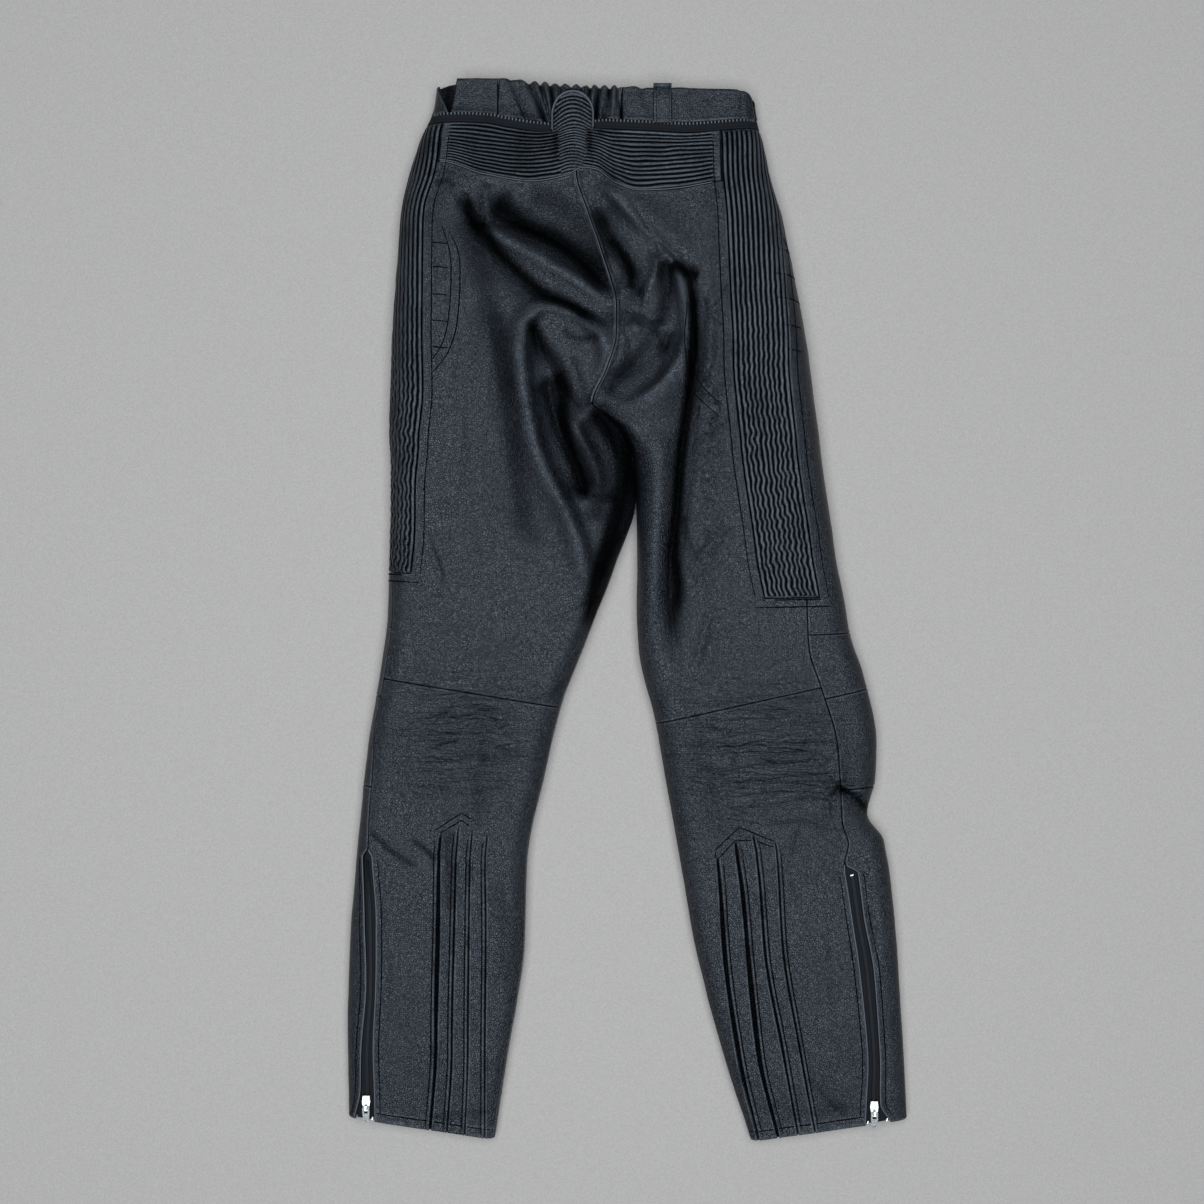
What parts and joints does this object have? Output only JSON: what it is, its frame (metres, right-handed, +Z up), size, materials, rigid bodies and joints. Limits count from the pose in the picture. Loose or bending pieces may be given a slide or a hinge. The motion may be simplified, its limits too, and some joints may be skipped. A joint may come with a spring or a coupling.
{
  "type": "motorcycle trousers laid flat",
  "caption": "Black leather motorcycle trousers lying flat, back side up: ribbed stretch panels and yoke, gathered waist, pleated calves and calf zips.",
  "frame": {"origin": "centre of the bounding box, on the surface that the garment lies on", "axes": "+X from the garment's left edge to its right edge as seen from above, +Y from the hems to the waist, +Z up from the surface through the back of the garment"},
  "size_m": [0.56, 1.058, 0.0465],
  "materials": {
    "leather": "black grained leather with a satin sheen",
    "waistband_leather": "smooth black leather",
    "zip_tape": "black woven tape",
    "zip_steel": "plated metal"
  },
  "bodies": {
    "garment": {"waistband_back_left": "waistband_leather", "waistband_back_gathered": "waistband_leather", "waistband_back_right": "waistband_leather", "waistband_front_left": "waistband_leather", "waistband_front_right": "waistband_leather", "belt_loop": "waistband_leather", "connecting_zip_left": "zip_tape", "connecting_zip_right": "zip_tape", "yoke": "leather", "stretch_panel_left": "leather", "stretch_panel_right": "leather", "back_leg_left": "leather", "back_leg_right": "leather", "calf_left": "leather", "calf_right": "leather", "front_thigh_left": "leather", "front_thigh_right": "leather", "fly_flap": "leather", "knee_upper_left": "leather", "knee_upper_right": "leather", "knee_lower_left": "leather", "knee_lower_right": "leather", "shin_left": "leather", "shin_right": "leather", "calf_zip_left": "zip_tape", "calf_zip_right": "zip_tape", "zip_slider_left": "zip_steel", "zip_slider_right": "zip_steel"},
    "pull_left": {"zip_tab_left": "zip_steel"},
    "pull_right": {"zip_tab_right": "zip_steel"}
  },
  "joints": [
    {"name": "pull_left_hinge", "type": "hinge", "parent": "garment", "child": "pull_left", "pos_m": [-0.25988, -0.49303, 0.02272], "axis": [-1, 0, 0], "range_deg": [0, 150]},
    {"name": "pull_right_hinge", "type": "hinge", "parent": "garment", "child": "pull_right", "pos_m": [0.245, -0.49878, 0.02246], "axis": [-1, 0, 0], "range_deg": [0, 150]}
  ]
}
